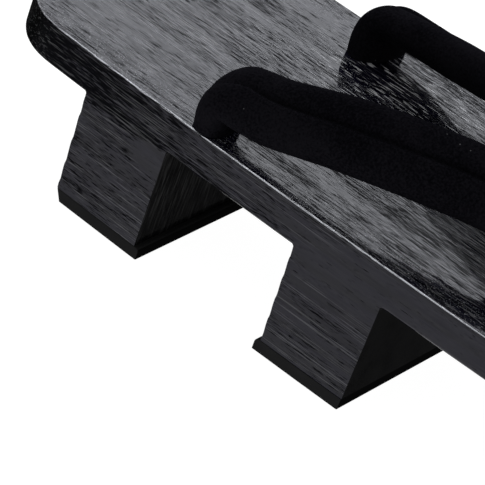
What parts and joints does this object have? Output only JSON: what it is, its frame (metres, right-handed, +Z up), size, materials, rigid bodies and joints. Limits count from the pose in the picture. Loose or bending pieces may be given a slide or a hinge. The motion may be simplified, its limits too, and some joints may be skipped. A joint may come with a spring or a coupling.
{
  "type": "geta sandal",
  "caption": "Wooden sandal carved from one block, with cross teeth on rubber pads and a padded velvet strap that folds at a thong between the toes.",
  "frame": {"origin": "on the floor under the middle of the deck", "axes": "+X to the wearer's right, +Y from heel to toes, +Z up"},
  "size_m": [0.1106, 0.261, 0.089],
  "materials": {
    "black_wood": "black stained wood with its grain brushed out, glossy on top and satin on the sides",
    "rubber": "matte black rubber sheet",
    "velvet": "black velvet with a short nap"
  },
  "bodies": {
    "root": {"carved_base": "black_wood", "rear_pad": "rubber", "front_pad": "rubber", "strap": "velvet", "toe_thong": "velvet"}
  },
  "joints": []
}
